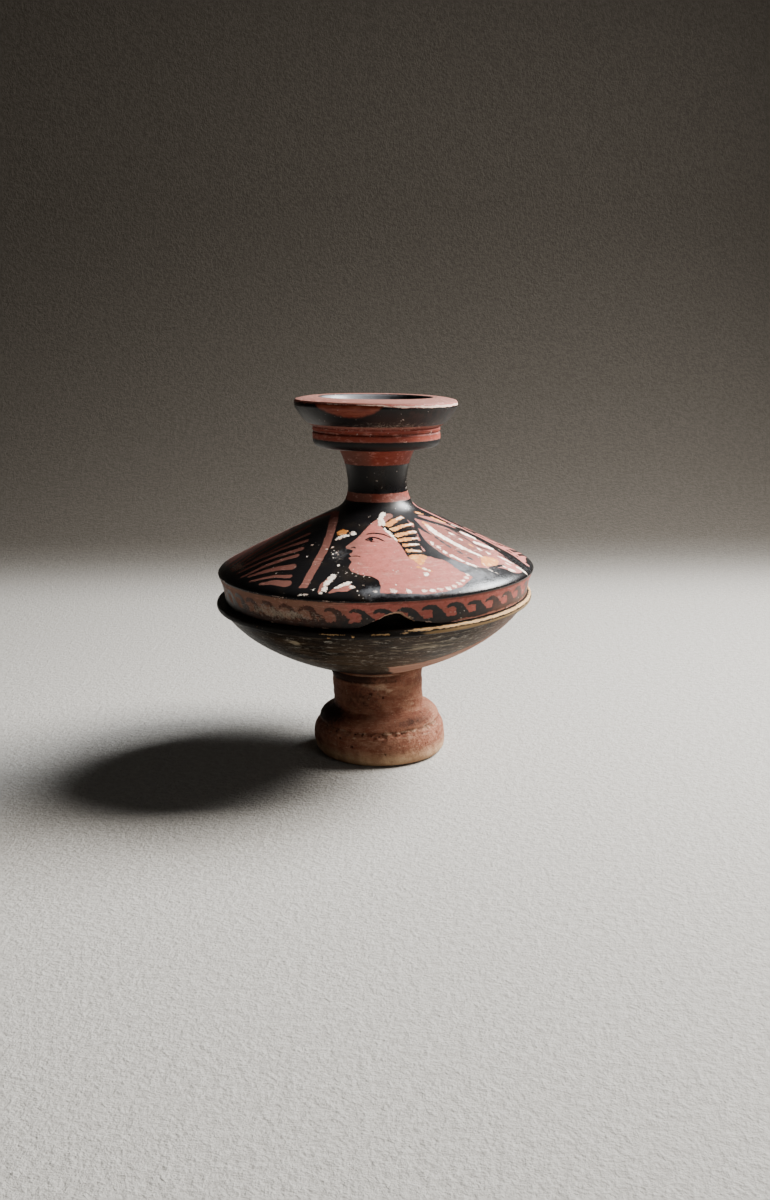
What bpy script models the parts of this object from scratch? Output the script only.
"""Pyxis: a small covered bowl of fired clay on a turned foot, with a painted lid that lifts off.

Metres, +Z up, the painted front towards -Y, the origin on the ground under the middle of the rim.
Each piece is a turned shape. It was thrown by hand, so it then leans a little, more at one height
than at another, and the lid's flange has lost a flake at the front.
"""

import math

import bmesh
import bpy
import numpy as np

# Bowl: a flat ledge carries the lid, and an upright lip inside it keeps the lid in place
RIM_RADIUS = 0.0501
LEDGE_HEIGHT = 0.0523
LEDGE_EDGE_ROUND = 0.0011
RIM_DEPTH = 0.0024
RIM_UNDERCUT = 0.0018
BOWL_WALL = 0.0040
BOWL_BELLY = 0.0066
LIP_HEIGHT = 0.0059
LIP_WALL = 0.0026

# Stem and foot, hollow from below
STEM_RADIUS = 0.0144
STEM_TOP = 0.0289
COLLAR_BULGE = 0.0004
COLLAR_HEIGHT = 0.0026
STEM_WALL = 0.0060
FLOOR_THICKNESS = 0.0082
FOOT_RADIUS = 0.0208
FOOT_BAND_HEIGHT = 0.0103
BAND_TOP_RADIUS = 0.0197
GROOVE_WIDTH = 0.0010
GROOVE_DEPTH = 0.0003
SHOULDER_HEIGHT = 0.0053
BASE_RADIUS = 0.0177
BASE_ROUND = 0.0029
RESTING_RING = 0.0044

# Lid: flange, cone, neck and the knob with its dished top
SEAT_GAP = 0.0003
LIP_CLEARANCE = 0.0016
FLANGE_WALL = 0.0031
FLANGE_HEIGHT = 0.0078
FLANGE_OVERHANG = 0.0021
FLANGE_HOLLOW = 0.0005
SHOULDER_RISE = 0.0028
SHOULDER_REACH = 0.0035
CONE_RISE = 0.0160
CONE_TOP_RADIUS = 0.0135
CONE_BELLY = 0.00015
LID_WALL = 0.0036
NECK_RADIUS = 0.0093
NECK_BELOW_WAIST = 0.0076
NECK_ABOVE_WAIST = 0.0118
NECK_TOP_RADIUS = 0.0124
MOULDING_RADIUS = 0.0199
MOULDING_HEIGHT = 0.0065
MOULDING_GROOVE = 0.0004
KNOB_RADIUS = 0.0254
CUP_HEIGHT = 0.0064
CUP_BELLY = 0.0009
CREST_RADIUS = 0.0208
CREST_RISE = 0.0026
DISH_RADIUS = 0.0172
DISH_DEPTH = 0.0060

# Flake broken from the flange's lower edge, by angle from the front towards +X
CHIP_HEIGHT = 0.0050
CHIP_FROM = math.radians(-7.4)
CHIP_PEAK = math.radians(9.2)
CHIP_TO = math.radians(26.0)
CHIP_BEVEL = 0.3
CHIP_MARGIN = 0.0020
CHIP_LEAD = 0.0005

# How far each level leans: sideways lifts the +X side, forwards lowers the front
SEAT_LEAN_SIDE = math.radians(0.9)
SEAT_LEAN_FRONT = math.radians(0.7)
CONE_LEAN_SIDE = math.radians(-0.3)
LID_LEAN_FRONT = math.radians(-0.3)
KNOB_LEAN_SIDE = math.radians(-1.3)
FOOT_OFFSET = 0.0014
RIM_OFFSET = -0.0003
LID_OFFSET = 0.0004
NECK_OFFSET = 0.0013
KNOB_OFFSET = 0.0010

# How the round runs are drawn, as shares of the width and height that they span
BELLY_FULLEST = 0.36
ARRIS_SET_IN = 0.1
SHOULDER_START = (0.38, 0.27)
SHOULDER_CORNER = (0.86, 0.50)
STEM_FILLET = (0.08, 0.12)
BAND_WAIST = 0.4
BAND_CORNER = 0.8
BOWL_SHIFT_TOP = 0.8
THROAT_CORNER = 0.15
DISH_FLAT = (0.45, 0.05)
DISH_CORNER = (0.85, 0.20)
DISH_MOUTH = 0.72
DISH_TO_CREST = 0.3
CREST_TO_EDGE = 0.6
KNOB_EDGE_ROUND = (0.2, 0.66)
CUP_SET_IN = 1.5
MOULDING_GROOVE_AT = 0.76
MOULDING_SIDE_FROM = 0.45
MOULDING_UNDER = 0.84
NECK_CORNER = 0.61
FLANGE_CORNER = (0.5, 0.6)
CHIP_TAIL = 1.6

TURN_STEPS = 48
CURVE_STEPS = 3
BELLY_STEPS = 7
CHIP_STEPS = 16
SMOOTH_BELOW = math.radians(40)
MERGE = 0.00002

# Heights of the lid's parts, each stacked on the one below
SEAT = LEDGE_HEIGHT + SEAT_GAP
ARRIS = SEAT + FLANGE_HEIGHT
CONE_FOOT = ARRIS + SHOULDER_RISE
CONE_TOP = CONE_FOOT + CONE_RISE
WAIST = CONE_TOP + NECK_BELOW_WAIST
MOULDING = WAIST + NECK_ABOVE_WAIST
CUP = MOULDING + MOULDING_HEIGHT
KNOB_EDGE = CUP + CUP_HEIGHT
CREST = KNOB_EDGE + CREST_RISE

# Radii that follow from the rim
LEDGE_RADIUS = RIM_RADIUS - LEDGE_EDGE_ROUND
ARRIS_RADIUS = RIM_RADIUS - ARRIS_SET_IN * LEDGE_EDGE_ROUND
FLANGE_RADIUS = ARRIS_RADIUS - FLANGE_OVERHANG
FLANGE_INNER = FLANGE_RADIUS - FLANGE_WALL
LIP_OUTER = FLANGE_INNER - LIP_CLEARANCE
LIP_INNER = LIP_OUTER - LIP_WALL


def clear_scene():
    for obj in list(bpy.data.objects):
        bpy.data.objects.remove(obj, do_unlink=True)


def new_collection(name):
    collection = bpy.data.collections.new(name)
    bpy.context.scene.collection.children.link(collection)
    return collection


def curve(start, corner, end, steps=CURVE_STEPS):
    """Points after start along a curve that leaves towards the corner and arrives from it."""
    points = []
    for step in range(1, steps + 1):
        t = step / steps
        near, middle, far = (1 - t) ** 2, 2 * t * (1 - t), t * t
        points.append(tuple(near * a + middle * b + far * c for a, b, c in zip(start, corner, end)))
    return points


def bulge(start, end, depth, steps):
    """Points after start along an arc that stands depth out, on the left of the way from start to end."""
    along = np.subtract(end, start)
    half = np.hypot(*along) / 2
    outward = np.array([-along[1], along[0]]) / (2 * half)
    radius = (half * half + depth * depth) / (2 * depth)
    opening = math.asin(half / radius)
    middle = np.add(start, end) / 2 - outward * (radius - depth)
    points = []
    for step in range(1, steps + 1):
        angle = opening * (2 * step / steps - 1)
        spot = middle + radius * (math.sin(angle) * along / (2 * half) + math.cos(angle) * outward)
        points.append(tuple(spot))
    return points


def moved_out(points, distance):
    """The same run of points, each moved off the line to its right by this distance."""
    line = np.array(points)
    ahead = np.gradient(line, axis=0)
    ahead /= np.linalg.norm(ahead, axis=1)[:, None]
    return line + distance * np.stack([ahead[:, 1], -ahead[:, 0]], axis=1)


def belly_profile():
    """Underside of the bowl, fullest below the rim and straighter down to the stem."""
    rim_foot = (RIM_RADIUS - RIM_UNDERCUT, LEDGE_HEIGHT - RIM_DEPTH)
    stem_top = (STEM_RADIUS, STEM_TOP)
    across = np.subtract(stem_top, rim_foot)
    outward = np.array([-across[1], across[0]]) / np.hypot(*across)
    corner = tuple(rim_foot + BELLY_FULLEST * across + BOWL_BELLY * outward)
    return [rim_foot] + curve(rim_foot, corner, stem_top, BELLY_STEPS)


def bowl_inside():
    """Inside of the bowl, from the middle of its floor out to the lip, one wall above the underside."""
    floor = STEM_TOP + BOWL_WALL
    inner = moved_out(belly_profile()[::-1], -BOWL_WALL)
    floor_radius = np.interp(floor, inner[:, 1], inner[:, 0])
    lip_foot = np.interp(LIP_INNER, inner[:, 0], inner[:, 1])
    between = [tuple(p) for p in inner if p[0] < LIP_INNER - MERGE and p[1] > floor + MERGE]
    return [(0.0, floor), (floor_radius, floor)] + between + [(LIP_INNER, lip_foot)]


def lip_and_rim():
    """The lip's rounded top, then the ledge and the rim's round edge."""
    top = LEDGE_HEIGHT + LIP_HEIGHT
    half = LIP_WALL / 2
    crown = (LIP_INNER + half, top)
    inner_side = (LIP_INNER, top - half)
    outer_side = (LIP_OUTER, top - half)
    widest = (RIM_RADIUS, LEDGE_HEIGHT - LEDGE_EDGE_ROUND)
    rim_foot = (RIM_RADIUS - RIM_UNDERCUT, LEDGE_HEIGHT - RIM_DEPTH)
    return (
        [inner_side]
        + curve(inner_side, (LIP_INNER, top), crown, 3)
        + curve(crown, (LIP_OUTER, top), outer_side, 3)
        + [(LIP_OUTER, LEDGE_HEIGHT), (LEDGE_RADIUS, LEDGE_HEIGHT)]
        + curve((LEDGE_RADIUS, LEDGE_HEIGHT), (RIM_RADIUS, LEDGE_HEIGHT), widest, 3)
        + curve(widest, (RIM_RADIUS, rim_foot[1]), rim_foot, 2)
    )


def stem_and_foot():
    """Collar, straight stem, round shoulder, groove and the foot's band, down to the ground."""
    band = FOOT_BAND_HEIGHT
    groove_radius = BAND_TOP_RADIUS - GROOVE_DEPTH
    groove_top = band + GROOVE_WIDTH
    stem_foot = groove_top + SHOULDER_HEIGHT
    collar_foot = (STEM_RADIUS, STEM_TOP - COLLAR_HEIGHT)
    fillet, shoulder_start, shoulder_corner = (
        (STEM_RADIUS + out * (groove_radius - STEM_RADIUS), stem_foot - down * SHOULDER_HEIGHT)
        for out, down in (STEM_FILLET, SHOULDER_START, SHOULDER_CORNER)
    )
    band_corner = (FOOT_RADIUS, BASE_ROUND + BAND_CORNER * (band - BASE_ROUND))
    waist = (FOOT_RADIUS, BASE_ROUND + BAND_WAIST * (band - BASE_ROUND))
    base_top = (FOOT_RADIUS, BASE_ROUND)
    return (
        bulge((STEM_RADIUS, STEM_TOP), collar_foot, COLLAR_BULGE, 2)
        + [(STEM_RADIUS, stem_foot)]
        + curve((STEM_RADIUS, stem_foot), fillet, shoulder_start, 2)
        + curve(shoulder_start, shoulder_corner, (groove_radius, groove_top))
        + [(groove_radius, band + GROOVE_WIDTH / 2), (BAND_TOP_RADIUS, band)]
        + curve((BAND_TOP_RADIUS, band), band_corner, waist, 3)
        + [base_top]
        + curve(base_top, (FOOT_RADIUS, 0.0), (BASE_RADIUS, 0.0), 3)
    )


def foot_hollow():
    """Inside of the foot, from its resting ring up to the roof under the bowl's floor."""
    roof = STEM_TOP + BOWL_WALL - FLOOR_THICKNESS
    radius = STEM_RADIUS - STEM_WALL
    mouth = (BASE_RADIUS - RESTING_RING, 0.0)
    throat = (radius, roof / 2)
    spring = (radius, roof - radius / 2)
    return (
        [mouth]
        + curve(mouth, (radius, THROAT_CORNER * roof), throat, 3)
        + [spring]
        + curve(spring, (radius, roof), (radius / 2, roof), 3)
        + [(0.0, roof)]
    )


def bowl_profile():
    return bowl_inside() + lip_and_rim() + belly_profile()[1:] + stem_and_foot() + foot_hollow()


def knob_top():
    """Dish, the round ring about it and the knob's outer edge."""
    floor = CREST - DISH_DEPTH
    flat, dish_corner = (
        (out * DISH_RADIUS, floor + rise * DISH_DEPTH) for out, rise in (DISH_FLAT, DISH_CORNER)
    )
    mouth = (DISH_RADIUS, KNOB_EDGE + DISH_MOUTH * CREST_RISE)
    crest = (CREST_RADIUS, CREST)
    inner_corner = (DISH_RADIUS + DISH_TO_CREST * (CREST_RADIUS - DISH_RADIUS), CREST)
    outer_corner = (CREST_RADIUS + CREST_TO_EDGE * (KNOB_RADIUS - CREST_RADIUS), CREST)
    edge = (KNOB_RADIUS, KNOB_EDGE)
    edge_in, edge_up = KNOB_EDGE_ROUND
    edge_top = (KNOB_RADIUS - edge_in * CREST_RISE, KNOB_EDGE + edge_up * CREST_RISE)
    return (
        [(0.0, floor), flat]
        + curve(flat, dish_corner, mouth)
        + curve(mouth, inner_corner, crest, 2)
        + curve(crest, outer_corner, edge_top, 2)
        + curve(edge_top, (KNOB_RADIUS, KNOB_EDGE + CREST_RISE / 2), edge, 2)
    )


def knob_side():
    """Flaring cup, the moulding below it with its fine groove, and the neck down to the cone."""
    cup_foot = (MOULDING_RADIUS + CUP_SET_IN * MOULDING_GROOVE, CUP + MOULDING_GROOVE)
    groove = MOULDING + MOULDING_GROOVE_AT * MOULDING_HEIGHT
    side_foot = (MOULDING_RADIUS, MOULDING + MOULDING_SIDE_FROM * MOULDING_HEIGHT)
    under = (MOULDING_UNDER * MOULDING_RADIUS, MOULDING)
    neck_top = (NECK_TOP_RADIUS, MOULDING)
    waist = (NECK_RADIUS, WAIST)
    cone_top = (CONE_TOP_RADIUS, CONE_TOP)
    slope = CONE_RISE / (ARRIS_RADIUS - SHOULDER_REACH - CONE_TOP_RADIUS)
    neck_corner = (NECK_RADIUS, WAIST + NECK_CORNER * NECK_ABOVE_WAIST)
    cone_corner = (NECK_RADIUS, CONE_TOP + slope * (CONE_TOP_RADIUS - NECK_RADIUS))
    return (
        bulge((KNOB_RADIUS, KNOB_EDGE), cup_foot, CUP_BELLY, 5)
        + [(MOULDING_RADIUS - MOULDING_GROOVE, CUP), (MOULDING_RADIUS, CUP - MOULDING_GROOVE)]
        + [(MOULDING_RADIUS, groove + MOULDING_GROOVE), (MOULDING_RADIUS - MOULDING_GROOVE, groove)]
        + [(MOULDING_RADIUS, groove - MOULDING_GROOVE), side_foot]
        + curve(side_foot, (MOULDING_RADIUS, MOULDING), under, 3)
        + [neck_top]
        + curve(neck_top, neck_corner, waist, 4)
        + curve(waist, cone_corner, cone_top, 4)
    )


def lid_outside():
    """Cone, its round shoulder, the sharp arris and the flange, which leans in and is slightly hollow."""
    slope = CONE_RISE / (ARRIS_RADIUS - SHOULDER_REACH - CONE_TOP_RADIUS)
    cone_foot = (ARRIS_RADIUS - SHOULDER_REACH, CONE_FOOT)
    arris = (ARRIS_RADIUS, ARRIS)
    foot = (FLANGE_RADIUS, SEAT)
    out, up = FLANGE_CORNER
    middle = (FLANGE_RADIUS + out * FLANGE_OVERHANG - FLANGE_HOLLOW, SEAT + up * FLANGE_HEIGHT)
    return (
        bulge((CONE_TOP_RADIUS, CONE_TOP), cone_foot, CONE_BELLY, 2)
        + curve(cone_foot, (ARRIS_RADIUS, CONE_FOOT - slope * SHOULDER_REACH), arris)
        + curve(arris, middle, foot)
    )


def lid_inside():
    """Inside of the flange and the cone, up to the closed foot of the neck."""
    outer = [(ARRIS_RADIUS - SHOULDER_REACH, CONE_FOOT), (CONE_TOP_RADIUS, CONE_TOP)]
    inner = moved_out(outer, -LID_WALL)
    slope = (inner[1, 1] - inner[0, 1]) / (inner[0, 0] - inner[1, 0])
    corner = (FLANGE_INNER, inner[0, 1] + slope * (inner[0, 0] - FLANGE_INNER))
    corner_round = LID_WALL
    roof_radius = NECK_RADIUS
    roof_edge = (roof_radius, corner[1] + slope * (FLANGE_INNER - roof_radius))
    below_corner = (FLANGE_INNER, corner[1] - corner_round / 2)
    past_corner = (FLANGE_INNER - corner_round, corner[1] + slope * corner_round)
    roof = (0.0, roof_edge[1] + slope * roof_radius / 3)
    return (
        [(FLANGE_INNER, SEAT), below_corner]
        + curve(below_corner, corner, past_corner, 3)
        + [roof_edge]
        + curve(roof_edge, (roof_radius / 3, roof[1]), roof, 3)
    )


def lid_profile():
    return knob_top() + knob_side() + lid_outside() + lid_inside()


def bowl_lean(height):
    """Sideways lean, forward lean and sideways offset of the bowl at a height."""
    levels = (FOOT_BAND_HEIGHT, STEM_TOP)
    side = np.interp(height, levels, (0.0, SEAT_LEAN_SIDE))
    front = np.interp(height, levels, (0.0, SEAT_LEAN_FRONT))
    offset = np.interp(height, (0.0, BOWL_SHIFT_TOP * LEDGE_HEIGHT), (FOOT_OFFSET, RIM_OFFSET))
    return side, front, offset


def lid_lean(height):
    """The same for the lid, which starts with the lean of the ledge that it sits on."""
    levels = (SEAT, CONE_FOOT + CONE_RISE / 4, WAIST, CREST)
    side_leans = (SEAT_LEAN_SIDE, CONE_LEAN_SIDE, CONE_LEAN_SIDE, KNOB_LEAN_SIDE)
    front_leans = (SEAT_LEAN_FRONT, LID_LEAN_FRONT, LID_LEAN_FRONT, LID_LEAN_FRONT)
    offset = np.interp(height, (ARRIS, CONE_TOP, CREST), (LID_OFFSET, NECK_OFFSET, KNOB_OFFSET))
    return np.interp(height, levels, side_leans), np.interp(height, levels, front_leans), offset


def lean_mesh(mesh, lean):
    """Tilts and shifts every level of a turned mesh, and leaves what stands on the ground as it is."""
    for vertex in mesh.vertices:
        x, y, height = vertex.co
        side, front, offset = lean(height)
        vertex.co = (x + offset, y, height + x * math.tan(side) + y * math.tan(front))


def turned(name, profile, collection, lean):
    """A profile of (radius, height) turned about Z, then leaned."""
    mesh = bpy.data.meshes.new(name)
    points = [(radius, 0.0, height) for radius, height in profile]
    edges = [(i, i + 1) for i in range(len(points) - 1)]
    mesh.from_pydata(points, edges, [])
    obj = bpy.data.objects.new(name, mesh)
    collection.objects.link(obj)
    screw = obj.modifiers.new("Turn", "SCREW")
    screw.steps = TURN_STEPS
    screw.render_steps = TURN_STEPS
    screw.use_merge_vertices = True
    screw.merge_threshold = MERGE
    graph = bpy.context.evaluated_depsgraph_get()
    obj.data = bpy.data.meshes.new_from_object(obj.evaluated_get(graph))
    obj.modifiers.clear()
    bpy.data.meshes.remove(mesh)
    obj.data.name = name
    lean_mesh(obj.data, lean)
    obj.data.shade_smooth()
    obj.data.set_sharp_from_angle(angle=SMOOTH_BELOW)
    return obj


def chip_height(angle):
    """Height of the break above the flange's edge: a steady rise to its peak, then a long tail."""
    if angle < CHIP_PEAK:
        t = (angle - CHIP_FROM) / (CHIP_PEAK - CHIP_FROM)
        return CHIP_HEIGHT * t * t * (3 - 2 * t)
    return CHIP_HEIGHT * ((CHIP_TO - angle) / (CHIP_TO - CHIP_PEAK)) ** CHIP_TAIL


def chip_cutter(collection):
    """The lost flake: a bent sheet along the break, lower on the inside, drawn down past the edge."""
    shape = bmesh.new()
    bmesh.ops.create_grid(shape, x_segments=CHIP_STEPS, y_segments=1, size=1.0)
    sheet = bmesh.ops.extrude_face_region(shape, geom=list(shape.faces))
    lower = {item for item in sheet["geom"] if isinstance(item, bmesh.types.BMVert)}
    inner = FLANGE_INNER - CHIP_MARGIN
    outer = ARRIS_RADIUS + CHIP_MARGIN
    for vertex in shape.verts:
        along, across, _ = vertex.co
        angle = CHIP_FROM + (CHIP_TO - CHIP_FROM) * (along + 1) / 2
        share = (across + 1) / 2
        top = (chip_height(angle) + CHIP_LEAD) * (1 - CHIP_BEVEL * (1 - share)) - CHIP_LEAD
        radius = inner + (outer - inner) * share
        height = SEAT - CHIP_MARGIN if vertex in lower else SEAT + top
        vertex.co = (radius * math.sin(angle), -radius * math.cos(angle), height)
    bmesh.ops.recalc_face_normals(shape, faces=list(shape.faces))
    mesh = bpy.data.meshes.new("flange_chip")
    shape.to_mesh(mesh)
    shape.free()
    lean_mesh(mesh, lid_lean)
    cutter = bpy.data.objects.new("flange_chip", mesh)
    cutter.hide_render = True
    cutter.display_type = "WIRE"
    collection.objects.link(cutter)
    return cutter


def paint(obj, colour, roughness):
    material = bpy.data.materials.new(obj.name)
    material.use_nodes = True
    shader = material.node_tree.nodes["Principled BSDF"]
    shader.inputs["Base Color"].default_value = (*colour, 1.0)
    shader.inputs["Roughness"].default_value = roughness
    shader.inputs["Metallic"].default_value = 0.0
    material.diffuse_color = (*colour, 1.0)
    obj.data.materials.clear()
    obj.data.materials.append(material)


def build_bowl(pieces):
    bowl = turned("bowl", bowl_profile(), pieces, bowl_lean)
    paint(bowl, (0.055, 0.040, 0.032), 0.42)


def build_lid(pieces, cutters):
    lid = turned("lid", lid_profile(), pieces, lid_lean)
    chip = lid.modifiers.new("Chip", "BOOLEAN")
    chip.operation = "DIFFERENCE"
    chip.solver = "EXACT"
    chip.object = chip_cutter(cutters)
    paint(lid, (0.330, 0.150, 0.110), 0.38)


def main():
    clear_scene()
    pieces = new_collection("pyxis")
    cutters = new_collection("cutters")
    cutters.hide_render = True
    build_bowl(pieces)
    build_lid(pieces, cutters)


main()
